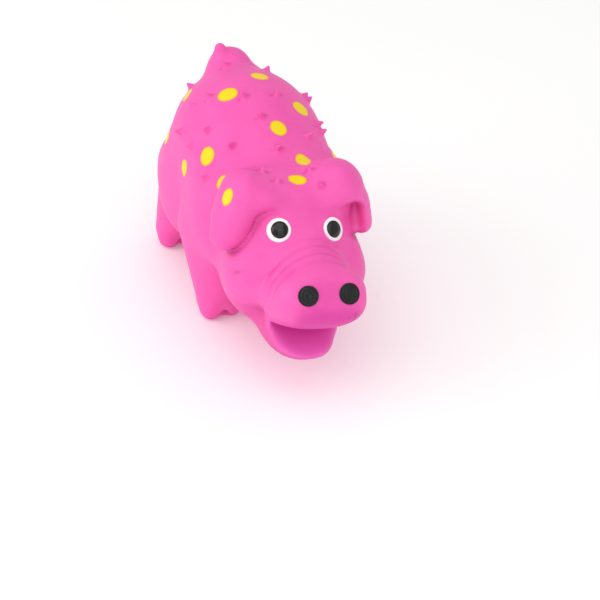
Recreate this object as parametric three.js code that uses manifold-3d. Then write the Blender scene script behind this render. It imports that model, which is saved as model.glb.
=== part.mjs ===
// A stuffed latex squeaky toy for dogs in the form of a pig: one dipped skin filled with fibre,
// with small moulded spikes on its back, painted eyes and nostrils, a vent in the right nostril,
// and a bellows squeaker that sounds when the back is pressed down.
//
// The skin is one moulding. It is held here as sections that meet along hairline joints, each
// section swelling and tapering as the skin does there. Millimetres, +Z up, the face towards -Y,
// the toy's own left towards +X, and the feet on Z = 0.

import * as THREE from "three";
import { mergeVertices } from "three/addons/utils/BufferGeometryUtils.js";
import Module from "manifold-3d";

const wasm = await Module();
wasm.setup();

// Skin and fits
const skinWall = 2; // thickness of the latex
const jointGap = 0.3; // between two pieces that touch
const overrun = 4; // how far a cutter passes the face that it cuts

// Barrel of the body
const bodyLength = 81;
const bodyWidth = 52;
const bodyHeight = 59;
const bellyClearance = 13; // belly above the floor

// Head, in its own group at the neck
const headWidth = 41.4;
const headDepth = 41.4;
const headHeight = 50.5;
const neckDrop = 2.5; // pivot of the head below the body's middle
const neckInset = 18.5; // pivot of the head behind the body's front end
const neckOffset = -0.8;
const headDrop = 27; // chin of the head's form below the pivot
const headForward = 11; // middle of the head before the pivot
const headRoll = THREE.MathUtils.degToRad(7.5);
const headYaw = THREE.MathUtils.degToRad(-2.5);

// Snout
const snoutWidth = 29.2;
const snoutHeight = 19.8; // of the nose disc
const snoutLength = 33; // from the root inside the head to the nose disc
const snoutRootForward = 15; // root before the pivot
const snoutRootDrop = 3; // root below the pivot
const noseRise = 2.5; // centre of the nose disc above the snout's root
const noseTilt = THREE.MathUtils.degToRad(35); // the disc looks up by this much
const noseEdge = 5; // depth of the rounded rim of the nose disc

// Lower jaw and mouth
const jawWidth = 25;
const jawLength = 33;
const jawHeight = 20;
const jawForward = 29;
const jawDrop = 20.5;
const jawTilt = THREE.MathUtils.degToRad(-5);
const mouthWidth = 20;
const mouthDepth = 28;
const mouthHeight = 16;
const mouthForward = 45;
const mouthDrop = 15;
const mouthTilt = THREE.MathUtils.degToRad(-6);

// Ears
const earReach = 21; // from the root out to the tip
const earRise = 7; // crest above the root
const earHang = 15; // tip below the root
const earSweep = 5; // tip before the root
const earChord = 20.4; // from the front edge to the rear one
const earThickness = 7.6;
const earRootOut = 5;
const earRootRise = 14; // above the pivot
const earRootForward = 10;

// Legs
const legSink = 21; // top end of a leg above the belly, inside the body
const legWidth = 21.2;
const hoofHeight = 7;
const legSpread = 14.2; // foot from the middle plane
const hipInset = 1.2; // the hip is nearer the middle than the foot
const frontFootInset = 30.5; // front feet behind the body's front end
const rearFootInset = 7.5; // rear feet before its rear end
const rearHipReach = 8; // rear hips before the rear feet
const cleftWidth = 2.6;
const cleftDepth = 3.4;
const cleftHeight = 5.5;

// Tail
const tailHeight = 20; // from the root in the rump to the tip
const tailThickness = 17;
const tailInset = 13; // root before the body's rear end
const tailSink = 11; // root below the body's back
const tailOffset = 3.2;
const tailCurl = 6; // how far the tip bends across

// Moulded spikes on the back
const spikeHeight = 2.7;
const spikeWidth = 2.4;
const spikeSink = 0.9;
const spikeRows = 8;
const spikeStep = THREE.MathUtils.degToRad(24); // between neighbours in a row
const spikeReach = THREE.MathUtils.degToRad(74); // down either flank

// Eyes and nostrils
const eyeSpacing = 17.8;
const eyeRise = 10.5; // above the pivot
const eyeYaw = THREE.MathUtils.degToRad(20.5);
const eyePitch = THREE.MathUtils.degToRad(37);
const eyeDiameter = 7.1;
const eyeHeight = 1.1;
const eyeEdge = 0.4; // bevel round the white
const eyeSink = 1.6;
const pupilDiameter = 4.9;
const pupilHeight = 1.2; // dome above the white
const pupilSeat = 0.6; // depth of its seat in the white
const nostrilDiameter = 6.2;
const nostrilSpacing = 13.4;
const nostrilRise = 2.1; // above the middle of the nose disc
const nostrilThickness = 0.8;
const nostrilSeat = 0.7;
const ventDiameter = 1.2;

// Belly opening and its patch
const bellyOpeningDiameter = 18;
const patchDiameter = 25;
const patchThickness = 1;

// Bellows squeaker, upright in the middle of the stuffing
const squeakerDiameter = 26;
const squeakerDrop = 13.5; // underside below the body's middle
const baseThickness = 2.4;
const bellowsHeight = 17;
const bellowsFolds = 4;
const bellowsFoldDepth = 2.4;
const bellowsWall = 0.9;
const capThickness = 2.2;
const spigotHeight = 1.8;
const spigotWall = 1.1;
const reedBore = 6.4;
const reedHolderWall = 1;
const reedHolderLength = 10;
const reedHolderFlange = 1.2;
const reedWidth = 3.2;
const reedThickness = 0.5;

// Sections of the forms, as shares of their sizes.
// Body: place along it, half width, height over the middle, depth under the middle
const bodySectionShares = [
  [0.012, 0.24, 0.21, 0.3],
  [0.05, 0.466, 0.43, 0.519],
  [0.11, 0.668, 0.627, 0.708],
  [0.2, 0.82, 0.776, 0.847],
  [0.3, 0.905, 0.875, 0.925],
  [0.42, 0.961, 0.953, 0.966],
  [0.555, 1, 1, 1],
  [0.69, 0.958, 0.96, 0.96],
  [0.815, 0.823, 0.824, 0.824],
  [0.89, 0.678, 0.678, 0.678],
  [0.95, 0.484, 0.485, 0.485],
  [0.985, 0.286, 0.288, 0.288],
];
// Head: height, half width, reach to the front, reach to the back
const headSectionShares = [
  [0.012, 0.18, 0.367, 0.077],
  [0.06, 0.536, 0.667, 0.38],
  [0.14, 0.773, 0.88, 0.61],
  [0.24, 0.912, 1, 0.77],
  [0.34, 0.969, 1.01, 0.865],
  [0.455, 0.99, 0.93, 0.947],
  [0.574, 1, 0.84, 0.99],
  [0.693, 0.969, 0.773, 0.966],
  [0.812, 0.845, 0.657, 0.855],
  [0.911, 0.619, 0.464, 0.657],
  [0.97, 0.361, 0.24, 0.435],
  [0.99, 0.196, 0.1, 0.295],
];
// Snout: place along it, rise, share of the nose's tilt, half width, height over, depth under
const snoutSectionShares = [
  [0, 0, 0, 1.01, 1.31, 1.3],
  [0.3, 0, 0.1, 0.985, 1.31, 1.1],
  [0.545, -0.2, 0.29, 0.965, 1.31, 0.92],
  [0.727, -0.24, 0.63, 0.98, 1.21, 0.94],
];
// Rim of the nose disc: depth behind its face, size
const noseRimShares = [
  [1, 1],
  [0.4, 0.965],
  [0.12, 0.88],
  [0, 0.76],
];
// Ear: place along it, half thickness, half chord
const earSectionShares = [
  [0, 1, 0.75],
  [0.15, 1, 0.9],
  [0.3, 0.98, 0.98],
  [0.45, 0.95, 1],
  [0.6, 0.92, 0.97],
  [0.75, 0.87, 0.87],
  [0.88, 0.74, 0.66],
  [0.96, 0.5, 0.38],
];
// Centre line of the ear: out, up towards the crest or down towards the tip, forward
const earPathShares = [
  [0, 0, 0],
  [0.2, 0.72, 0.1],
  [0.43, 1, 0.2],
  [0.67, 0.62, 0.4],
  [0.85, -0.12, 0.6],
  [0.95, -0.55, 0.8],
  [1, -1, 1],
];
// Leg: height, half width, share of the way from the hip to the foot
const legSectionShares = [
  [0, 0.64, 1],
  [0.035, 0.72, 1],
  [0.12, 0.755, 1],
  [0.26, 0.755, 0.92],
  [0.47, 0.87, 0.6],
  [0.7, 1, 0.25],
  [0.9, 0.98, 0],
  [0.98, 0.7, 0],
];
// Tail: height, sideways place in the curl, half thickness
const tailSectionShares = [
  [0, 0.1, 0.85],
  [0.2, 0.1, 1],
  [0.42, 0.25, 0.84],
  [0.56, 0.35, 0.66],
  [0.68, 0.1, 0.46],
  [0.8, -0.45, 0.36],
  [0.9, -0.75, 0.3],
  [0.97, -0.9, 0.17],
];

// Facets round each form
const bodySegments = 24;
const headSegments = 20;
const snoutSegments = 20;
const limbSegments = 12;
const discSegments = 24;
const spikeSegments = 5;
const noseSquareness = 2.4;
const plainOval = 2;

// Places that follow from the sizes
const bodyMiddleZ = bellyClearance + bodyHeight / 2;
const [bodyWidestShare] = bodySectionShares.find(([, half]) => half === 1);
const bodyFrontY = -bodyLength * bodyWidestShare;
const bodyRearY = bodyFrontY + bodyLength;
const legHeight = bellyClearance + legSink;
const squeakerBase = bodyMiddleZ - squeakerDrop;
const squeakerHeight = baseThickness + bellowsHeight + capThickness + 2 * jointGap;

const materials = {
  latex: new THREE.MeshStandardMaterial({ color: 0xff5fb4, roughness: 0.55, metalness: 0 }),
  innerLatex: new THREE.MeshStandardMaterial({ color: 0xf27abb, roughness: 0.7, metalness: 0 }),
  eyeWhite: new THREE.MeshStandardMaterial({ color: 0xfbfbf8, roughness: 0.35, metalness: 0 }),
  pupil: new THREE.MeshStandardMaterial({ color: 0x1b1b1d, roughness: 0.12, metalness: 0 }),
  nostril: new THREE.MeshStandardMaterial({ color: 0x2b2c2e, roughness: 0.6, metalness: 0 }),
  fibre: new THREE.MeshStandardMaterial({ color: 0xf2f0ea, roughness: 0.95, metalness: 0 }),
  squeaker: new THREE.MeshStandardMaterial({ color: 0xeceff0, roughness: 0.4, metalness: 0 }),
  reed: new THREE.MeshStandardMaterial({ color: 0xd8dde0, roughness: 0.3, metalness: 0 }),
};

// A closed geometry as a solid that can be joined and cut.
function solidOf(geometry) {
  const plain = geometry.clone();
  plain.deleteAttribute("normal");
  plain.deleteAttribute("uv");
  const merged = mergeVertices(plain);
  return new wasm.Manifold(
    new wasm.Mesh({
      numProp: 3,
      vertProperties: merged.attributes.position.array,
      triVerts: new Uint32Array(merged.index.array),
    }),
  );
}

function geometryOf(solid) {
  const mesh = solid.getMesh();
  const positions = new Float32Array(mesh.numVert * 3);
  for (let i = 0; i < mesh.numVert; i++) {
    positions.set(mesh.vertProperties.subarray(i * mesh.numProp, i * mesh.numProp + 3), i * 3);
  }
  const geometry = new THREE.BufferGeometry();
  geometry.setAttribute("position", new THREE.BufferAttribute(positions, 3));
  geometry.setIndex(new THREE.BufferAttribute(mesh.triVerts, 1));
  geometry.computeVertexNormals();
  return geometry;
}

function join(solids) {
  return solids.reduce((whole, solid) => whole.add(solid));
}

function cut(solid, cutters) {
  return cutters.reduce((rest, cutter) => rest.subtract(cutter), solid);
}

// A closed skin through oval sections. A section has a centre, the unit directions of its width
// and of its height, a half width, a height over the centre and a depth under it. A form may
// end in a tip; without one it ends in a flat face.
function loft(sections, { segments, squareness = plainOval, startTip, endTip }) {
  const positions = [];
  const index = [];
  for (const s of sections) {
    for (let i = 0; i < segments; i++) {
      const angle = (i / segments) * 2 * Math.PI;
      const c = Math.cos(angle);
      const n = Math.sin(angle);
      const across = s.half * Math.sign(c) * Math.abs(c) ** (plainOval / squareness);
      const height = n > 0 ? s.over : s.under;
      const up = height * Math.sign(n) * Math.abs(n) ** (plainOval / squareness);
      const p = s.centre.clone().addScaledVector(s.side, across).addScaledVector(s.rise, up);
      positions.push(p.x, p.y, p.z);
    }
  }
  for (let k = 0; k + 1 < sections.length; k++) {
    for (let i = 0; i < segments; i++) {
      const j = (i + 1) % segments;
      const a = k * segments + i;
      const b = k * segments + j;
      index.push(a, b, b + segments, a, b + segments, a + segments);
    }
  }
  const start = startTip ?? sections[0].centre;
  const end = endTip ?? sections[sections.length - 1].centre;
  const startIndex = sections.length * segments;
  positions.push(start.x, start.y, start.z, end.x, end.y, end.z);
  const last = (sections.length - 1) * segments;
  for (let i = 0; i < segments; i++) {
    const j = (i + 1) % segments;
    index.push(startIndex, j, i, startIndex + 1, last + i, last + j);
  }
  const geometry = new THREE.BufferGeometry();
  geometry.setAttribute("position", new THREE.Float32BufferAttribute(positions, 3));
  geometry.setIndex(index);
  return solidOf(geometry);
}

// A form keeps its solid, its middle and its half sizes, so that it can be drawn in by the wall
// of the skin or let out by the clearance of a joint.
function form(solid) {
  const box = solid.boundingBox();
  const low = new THREE.Vector3(...box.min);
  const high = new THREE.Vector3(...box.max);
  return {
    solid,
    middle: low.clone().add(high).divideScalar(2),
    half: high.clone().sub(low).divideScalar(2),
  };
}

function grown({ solid, middle, half }, by) {
  return solid
    .translate(-middle.x, -middle.y, -middle.z)
    .scale([(half.x + by) / half.x, (half.y + by) / half.y, (half.z + by) / half.z])
    .translate(middle.x, middle.y, middle.z);
}

// A profile of [radius, height] points turned about the Z axis.
function revolve(profile, segments = discSegments) {
  const points = profile.map(([radius, height]) => new THREE.Vector2(radius, height));
  return solidOf(new THREE.LatheGeometry(points, segments).rotateX(Math.PI / 2));
}

function cylinder(radius, height, segments = discSegments) {
  const geometry = new THREE.CylinderGeometry(radius, radius, height, segments);
  return solidOf(geometry.rotateX(Math.PI / 2).translate(0, 0, height / 2));
}

// A block centred on x, with its low sides at y and z.
function block(width, depth, height, x, y, z) {
  return solidOf(new THREE.BoxGeometry(width, depth, height).translate(x, y + depth / 2, z + height / 2));
}

function ellipsoid(width, depth, height, tilt, middle) {
  const geometry = new THREE.SphereGeometry(1, headSegments, limbSegments);
  geometry.scale(width / 2, depth / 2, height / 2);
  geometry.rotateX(tilt).translate(middle.x, middle.y, middle.z);
  return solidOf(geometry);
}

const alongX = new THREE.Vector3(1, 0, 0);
const alongY = new THREE.Vector3(0, 1, 0);
const alongZ = new THREE.Vector3(0, 0, 1);

// Body

function bodySection([along, half, over, under]) {
  return {
    centre: new THREE.Vector3(0, bodyFrontY + along * bodyLength, bodyMiddleZ),
    side: alongX.clone().negate(),
    rise: alongZ,
    half: (half * bodyWidth) / 2,
    over: (over * bodyHeight) / 2,
    under: (under * bodyHeight) / 2,
  };
}

const bodyForm = form(
  loft(bodySectionShares.map(bodySection), {
    segments: bodySegments,
    startTip: new THREE.Vector3(0, bodyFrontY, bodyMiddleZ),
    endTip: new THREE.Vector3(0, bodyRearY, bodyMiddleZ),
  }),
);

// Section of the body at any place along it, between the two nearest of its table.
function bodySectionAt(along) {
  const k = bodySectionShares.findIndex((shares) => shares[0] > along);
  const before = bodySectionShares[k - 1];
  const after = bodySectionShares[k];
  const t = (along - before[0]) / (after[0] - before[0]);
  return bodySection(before.map((share, i) => THREE.MathUtils.lerp(share, after[i], t)));
}

// Point of the body's back, by the place along it and the angle down a flank.
function backPoint(along, angle) {
  const s = bodySectionAt(along);
  const point = s.centre.clone();
  point.x += s.half * Math.sin(angle);
  point.z += s.over * Math.cos(angle);
  return point;
}

function spikeAt(along, angle) {
  const stepShare = 0.01;
  const point = backPoint(along, angle);
  const lengthwise = backPoint(along + stepShare, angle).sub(backPoint(along - stepShare, angle));
  const crosswise = backPoint(along, angle + stepShare).sub(backPoint(along, angle - stepShare));
  const outward = lengthwise.cross(crosswise).normalize().negate();
  if (outward.z < 0) outward.negate();
  const length = spikeHeight + spikeSink;
  const cone = new THREE.ConeGeometry(spikeWidth / 2, length, spikeSegments);
  cone.translate(0, length / 2 - spikeSink, 0);
  cone.applyQuaternion(new THREE.Quaternion().setFromUnitVectors(alongY, outward));
  return solidOf(cone.translate(point.x, point.y, point.z));
}

// Rows across the back, every other one shifted by half a step.
const firstRowShare = 0.24;
const lastRowShare = 0.93;
const spikes = [];
for (let row = 0; row < spikeRows; row++) {
  const along = THREE.MathUtils.lerp(firstRowShare, lastRowShare, row / (spikeRows - 1));
  const shift = row % 2 ? spikeStep / 2 : 0;
  for (let angle = shift; angle <= spikeReach; angle += spikeStep) {
    for (const side of angle > 0 ? [1, -1] : [1]) spikes.push(spikeAt(along, side * angle));
  }
}

// Legs, each a column that narrows from the hip to the hoof

function legForm(side, hipY, footY, fromShare, inset) {
  const hipX = side * (legSpread - hipInset);
  const footX = side * legSpread;
  const sections = legSectionShares
    .filter(([height]) => height >= fromShare)
    .map(([height, half, footing]) => {
      const radius = (half * legWidth) / 2 - inset;
      return {
        centre: new THREE.Vector3(
          THREE.MathUtils.lerp(hipX, footX, footing),
          THREE.MathUtils.lerp(hipY, footY, footing),
          height * (legHeight - inset),
        ),
        side: alongX,
        rise: alongY,
        half: radius,
        over: radius,
        under: radius,
      };
    });
  return form(loft(sections, { segments: limbSegments }));
}

// Cleft between the two toes, a wedge that widens to the front of the hoof.
function cleft(side, footY) {
  const front = footY - legWidth / 2;
  const apex = footY - (legSectionShares[2][1] * legWidth) / 2 + cleftDepth;
  const wedge = new THREE.Shape([
    new THREE.Vector2(-cleftWidth, front),
    new THREE.Vector2(cleftWidth, front),
    new THREE.Vector2(0, apex),
  ]);
  const depth = cleftHeight + overrun;
  const geometry = new THREE.ExtrudeGeometry(wedge, { depth, bevelEnabled: false });
  return solidOf(geometry.translate(side * legSpread, 0, -overrun));
}

const frontFootY = bodyFrontY + frontFootInset;
const rearFootY = bodyRearY - rearFootInset;
const legPlan = [
  { name: "leg_front_left", side: 1, hipY: frontFootY, footY: frontFootY },
  { name: "leg_front_right", side: -1, hipY: frontFootY, footY: frontFootY },
  { name: "leg_rear_left", side: 1, hipY: rearFootY - rearHipReach, footY: rearFootY },
  { name: "leg_rear_right", side: -1, hipY: rearFootY - rearHipReach, footY: rearFootY },
];
const coreShare = hoofHeight / legHeight;
for (const leg of legPlan) {
  leg.form = legForm(leg.side, leg.hipY, leg.footY, 0, 0);
  leg.core = legForm(leg.side, leg.hipY, leg.footY, coreShare, skinWall);
}

// Head: its group carries what is on the head, tipped a little to one side

const toy = new THREE.Group();
const model = new THREE.Group();
const head = new THREE.Group();
toy.add(model);
model.add(head);
head.position.set(neckOffset, bodyFrontY + neckInset, bodyMiddleZ - neckDrop);
head.rotation.set(0, headRoll, headYaw, "ZYX");
model.updateMatrixWorld(true);
const headPlace = head.matrixWorld.elements;
const headPlaceBack = head.matrixWorld.clone().invert().elements;

const headForm = form(
  loft(
    headSectionShares.map(([height, half, front, back]) => ({
      centre: new THREE.Vector3(0, -headForward, height * headHeight - headDrop),
      side: alongX,
      rise: alongY,
      half: (half * headWidth) / 2,
      over: (back * headDepth) / 2,
      under: (front * headDepth) / 2,
    })),
    {
      segments: headSegments,
      startTip: new THREE.Vector3(0, -headForward, -headDrop),
      endTip: new THREE.Vector3(0, -headForward, headHeight - headDrop),
    },
  ),
);

// Snout: the bridge, then the nose disc, which looks up

function tiltedSection(centre, tilt, half, over, under) {
  return {
    centre,
    side: alongX.clone().negate(),
    rise: new THREE.Vector3(0, Math.sin(tilt), Math.cos(tilt)),
    half,
    over,
    under,
  };
}

const noseOut = new THREE.Vector3(0, -Math.cos(noseTilt), Math.sin(noseTilt));
const noseUp = new THREE.Vector3(0, Math.sin(noseTilt), Math.cos(noseTilt));
const snoutRoot = new THREE.Vector3(0, -snoutRootForward, -snoutRootDrop);
const noseCentre = snoutRoot.clone().add(new THREE.Vector3(0, -snoutLength, noseRise));
const bridgeSections = snoutSectionShares.map(([along, rise, tilt, half, over, under]) =>
  tiltedSection(
    snoutRoot.clone().add(new THREE.Vector3(0, -along * snoutLength, rise * noseRise)),
    tilt * noseTilt,
    (half * snoutWidth) / 2,
    (over * snoutHeight) / 2,
    (under * snoutHeight) / 2,
  ),
);
const rimSections = noseRimShares.map(([depth, size]) =>
  tiltedSection(
    noseCentre.clone().addScaledVector(noseOut, -depth * noseEdge),
    noseTilt,
    (size * snoutWidth) / 2,
    (size * snoutHeight) / 2,
    (size * snoutHeight) / 2,
  ),
);
const snoutForm = form(
  loft([...bridgeSections, ...rimSections].reverse(), {
    segments: snoutSegments,
    squareness: noseSquareness,
  }),
);

// The hollow of the skin, and the fibre that fills it with a little clearance

function hollow(clearance) {
  const inset = -skinWall - clearance;
  return join([
    grown(bodyForm, inset),
    grown(headForm, inset).transform(headPlace),
    grown(snoutForm, inset).transform(headPlace),
    ...legPlan.map((leg) => grown(leg.core, -clearance)),
  ]);
}

const cavity = hollow(0);
const cavityInHead = cavity.transform(headPlaceBack);
const fillBlank = hollow(jointGap);

// What the smaller sections are cut back from
const bodyClear = grown(bodyForm, jointGap);
const bodyClearInHead = bodyClear.transform(headPlaceBack);
const headClear = grown(headForm, jointGap);
const snoutClear = grown(snoutForm, jointGap);

function place(parent, name, solid, material) {
  const mesh = new THREE.Mesh(geometryOf(solid), material);
  mesh.name = name;
  parent.add(mesh);
  return mesh;
}

// Patch glued under the belly over the opening that the filling went through
const patchBlank = cylinder(patchDiameter / 2, bodyMiddleZ);
const legsClear = legPlan.map((leg) => grown(leg.form, jointGap));
place(
  model,
  "belly_patch",
  cut(grown(bodyForm, jointGap + patchThickness).intersect(patchBlank), [bodyClear, ...legsClear]),
  materials.innerLatex,
);

// Skin of the legs

const headClearInToy = headClear.transform(headPlace);
for (const leg of legPlan) {
  const outer = leg.form.solid.subtract(cleft(leg.side, leg.footY));
  place(model, leg.name, cut(outer, [bodyClear, headClearInToy, cavity]), materials.latex);
}

// Tail: a thick root that narrows into a small curl

const tailRoot = backPoint(1 - tailInset / bodyLength, 0);
tailRoot.x = tailOffset;
tailRoot.z -= tailSink;
const tailSections = tailSectionShares.map(([height, sideways, half]) => {
  const radius = (half * tailThickness) / 2;
  return {
    centre: new THREE.Vector3(sideways * tailCurl, 0, height * tailHeight).add(tailRoot),
    side: alongX,
    rise: alongY,
    half: radius,
    over: radius,
    under: radius,
  };
});
const tailTip = new THREE.Vector3(-tailCurl, 0, tailHeight).add(tailRoot);
const tailForm = form(loft(tailSections, { segments: limbSegments, endTip: tailTip }));
place(model, "tail", tailForm.solid.subtract(bodyClear), materials.latex);

// Skin of the head and of the snout

place(
  head,
  "head_skin",
  cut(headForm.solid, [bodyClearInHead, cavityInHead]),
  materials.latex,
);

// A disc or bore that stands on the nose disc, by its side and its height on it.
function onNose(solid, across, up, out) {
  const at = noseCentre.clone().addScaledVector(noseUp, up).addScaledVector(noseOut, out);
  const turn = new THREE.Matrix4().makeBasis(alongX, noseUp, noseOut);
  turn.setPosition(at.x + across, at.y, at.z);
  return solid.transform(turn.elements);
}

const nostrilSides = [
  { name: "nostril_left", side: 1, vented: false },
  { name: "nostril_right", side: -1, vented: true },
];
const nostrilSeats = nostrilSides.map(({ side }) =>
  onNose(
    cylinder(nostrilDiameter / 2 + jointGap, nostrilSeat + overrun),
    (side * nostrilSpacing) / 2,
    nostrilRise,
    -nostrilSeat,
  ),
);
const vent = onNose(
  cylinder(ventDiameter / 2, skinWall + 2 * overrun, limbSegments),
  -nostrilSpacing / 2,
  nostrilRise,
  -skinWall - overrun,
);
place(
  head,
  "snout",
  cut(snoutForm.solid, [headClear, cavityInHead, ...nostrilSeats, vent]),
  materials.latex,
);
for (const { name, side, vented } of nostrilSides) {
  const disc = onNose(
    cylinder(nostrilDiameter / 2, nostrilThickness),
    (side * nostrilSpacing) / 2,
    nostrilRise,
    jointGap - nostrilSeat,
  );
  place(head, name, vented ? disc.subtract(vent) : disc, materials.nostril);
}

// Lower jaw, scooped out to the open mouth

const jawMiddle = new THREE.Vector3(0, -jawForward, -jawDrop);
const mouthMiddle = new THREE.Vector3(0, -mouthForward, -mouthDrop);
place(
  head,
  "lower_jaw",
  cut(ellipsoid(jawWidth, jawLength, jawHeight, jawTilt, jawMiddle), [
    ellipsoid(mouthWidth, mouthDepth, mouthHeight, mouthTilt, mouthMiddle),
    headClear,
    snoutClear,
  ]),
  materials.latex,
);

// Ears: flaps that rise from the crown, fold over and hang beside the eyes

function earForm(side) {
  const points = earPathShares.map(
    ([out, up, forward]) =>
      new THREE.Vector3(
        side * (earRootOut + out * earReach),
        -earRootForward - forward * earSweep,
        earRootRise + up * (up > 0 ? earRise : earHang),
      ),
  );
  const path = new THREE.CatmullRomCurve3(points);
  const sections = earSectionShares.map(([along, thick, chord]) => {
    const tangent = path.getTangent(along);
    return {
      centre: path.getPoint(along),
      side: alongY.clone().multiplyScalar(side),
      rise: tangent.clone().cross(alongY).multiplyScalar(side).normalize(),
      half: (chord * earChord) / 2,
      over: (thick * earThickness) / 2,
      under: (thick * earThickness) / 2,
    };
  });
  return form(loft(sections, { segments: limbSegments, endTip: path.getPoint(1) }));
}

const ears = [
  { name: "ear_left", form: earForm(1) },
  { name: "ear_right", form: earForm(-1) },
];
for (const ear of ears) {
  place(head, ear.name, cut(ear.form.solid, [headClear, bodyClearInHead]), materials.latex);
}

// Skin of the body, with the opening in the belly and with spikes that stand clear of the head,
// the ears and the tail

const spikeFree = [
  grown(tailForm, spikeWidth),
  headClearInToy,
  ...ears.map((ear) => grown(ear.form, spikeWidth).transform(headPlace)),
];
const clearSpikes = spikes.filter((spike) => spikeFree.every((piece) => piece.intersect(spike).isEmpty()));
const bellyHole = cylinder(bellyOpeningDiameter / 2, bodyMiddleZ);
place(
  model,
  "body_skin",
  cut(join([bodyForm.solid, ...clearSpikes]), [cavity, bellyHole]),
  materials.latex,
);

// Eyes: a white disc on the brow with a glossy domed pupil seated in it

const eyeWhiteSolid = revolve([
  [0, -eyeSink],
  [eyeDiameter / 2, -eyeSink],
  [eyeDiameter / 2, eyeHeight - eyeEdge],
  [eyeDiameter / 2 - eyeEdge, eyeHeight],
  [pupilDiameter / 2 + jointGap, eyeHeight],
  [pupilDiameter / 2 + jointGap, eyeHeight - pupilSeat],
  [0, eyeHeight - pupilSeat],
]);
const domeSteps = 5;
const pupilProfile = [[0, eyeHeight - pupilSeat + jointGap]];
for (let i = 0; i <= domeSteps; i++) {
  const angle = (i / domeSteps) * (Math.PI / 2);
  pupilProfile.push([
    i === domeSteps ? 0 : (pupilDiameter / 2) * Math.cos(angle),
    eyeHeight + pupilHeight * Math.sin(angle),
  ]);
}
pupilProfile.splice(1, 0, [pupilDiameter / 2, eyeHeight - pupilSeat + jointGap]);
const pupilSolid = revolve(pupilProfile);

// Front of the head at a given side and height, where a piece can sit.
const headMesh = new THREE.Mesh(geometryOf(headForm.solid), materials.latex);
function browPoint(x, z) {
  const start = new THREE.Vector3(x, -headDepth, z);
  const [hit] = new THREE.Raycaster(start, alongY).intersectObject(headMesh);
  return hit.point;
}

for (const [label, side] of [
  ["left", 1],
  ["right", -1],
]) {
  const seat = browPoint((side * eyeSpacing) / 2, eyeRise);
  const outward = new THREE.Vector3(
    side * Math.sin(eyeYaw) * Math.cos(eyePitch),
    -Math.cos(eyeYaw) * Math.cos(eyePitch),
    Math.sin(eyePitch),
  );
  const turn = new THREE.Matrix4().makeRotationFromQuaternion(
    new THREE.Quaternion().setFromUnitVectors(alongZ, outward),
  );
  turn.setPosition(seat);
  const white = cut(eyeWhiteSolid.transform(turn.elements), [headClear, snoutClear]);
  place(head, "eye_white_" + label, white, materials.eyeWhite);
  place(head, "pupil_" + label, cut(pupilSolid.transform(turn.elements), [headClear]), materials.pupil);
}

// Stuffing: one fill for the body, the head and the legs, round a pocket for the squeaker

const pocketRadius = squeakerDiameter / 2 + jointGap;
const pocket = cylinder(pocketRadius, squeakerHeight + 2 * jointGap).translate(
  0,
  0,
  squeakerBase - jointGap,
);
const channel = cylinder(reedBore, squeakerBase);
place(model, "stuffing", cut(fillBlank, [pocket, channel]), materials.fibre);

// Squeaker: a bellows between a base, which carries the reed, and a cap that is pressed down

const squeaker = new THREE.Group();
squeaker.position.z = squeakerBase;
model.add(squeaker);

const rimRadius = squeakerDiameter / 2;
const spigotRadius = rimRadius - bellowsFoldDepth - bellowsWall - jointGap;
place(
  squeaker,
  "squeaker_base",
  revolve([
    [reedBore / 2, 0],
    [rimRadius, 0],
    [rimRadius, baseThickness],
    [spigotRadius, baseThickness],
    [spigotRadius, baseThickness + spigotHeight],
    [spigotRadius - spigotWall, baseThickness + spigotHeight],
    [spigotRadius - spigotWall, baseThickness],
    [reedBore / 2, baseThickness],
    [reedBore / 2, 0],
  ]),
  materials.squeaker,
);

// The wall of the bellows folds in and out between its two end rings.
const bellowsLow = baseThickness + jointGap;
const bellowsHigh = bellowsLow + bellowsHeight;
const bellowsOuter = [];
for (let i = 0; i <= 2 * bellowsFolds; i++) {
  const radius = i % 2 ? rimRadius - bellowsFoldDepth : rimRadius;
  bellowsOuter.push([radius, THREE.MathUtils.lerp(bellowsLow, bellowsHigh, i / (2 * bellowsFolds))]);
}
const bellowsInner = bellowsOuter.map(([radius, height]) => [radius - bellowsWall, height]).reverse();
place(
  squeaker,
  "squeaker_bellows",
  revolve([...bellowsOuter, ...bellowsInner, bellowsOuter[0]], headSegments),
  materials.squeaker,
);

const capLow = bellowsHigh + jointGap;
place(
  squeaker,
  "squeaker_cap",
  revolve([
    [0, capLow],
    [spigotRadius - spigotWall, capLow],
    [spigotRadius - spigotWall, capLow - spigotHeight],
    [spigotRadius, capLow - spigotHeight],
    [spigotRadius, capLow],
    [rimRadius, capLow],
    [rimRadius, capLow + capThickness],
    [0, capLow + capThickness],
  ]),
  materials.squeaker,
);

// Reed unit in the base: a split tube, a thin reed over its flat, and the clip that holds it

const holderRadius = reedBore / 2 - jointGap;
const holderBore = holderRadius - reedHolderWall;
const tongueLength = reedHolderLength - baseThickness - reedHolderFlange;
const tongueLow = baseThickness + reedHolderFlange;
const halfCut = block(reedBore, reedBore, tongueLength + overrun, 0, 0, tongueLow);
const holder = revolve([
  [holderBore, -reedHolderFlange],
  [holderRadius + reedHolderWall, -reedHolderFlange],
  [holderRadius + reedHolderWall, -jointGap],
  [holderRadius, -jointGap],
  [holderRadius, reedHolderLength],
  [holderBore, reedHolderLength],
  [holderBore, -reedHolderFlange],
]);
place(squeaker, "reed_holder", holder.subtract(halfCut), materials.squeaker);
const clipFoot = tongueLow + jointGap;
const clipHeight = reedHolderLength - clipFoot;
const reed = block(reedWidth, reedThickness, clipHeight, 0, jointGap, clipFoot);
place(squeaker, "reed", reed, materials.reed);
const clipTube = revolve([
  [holderBore, clipFoot],
  [holderRadius, clipFoot],
  [holderRadius, reedHolderLength],
  [holderBore, reedHolderLength],
  [holderBore, clipFoot],
]);
const overReed = 2 * jointGap + reedThickness;
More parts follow.
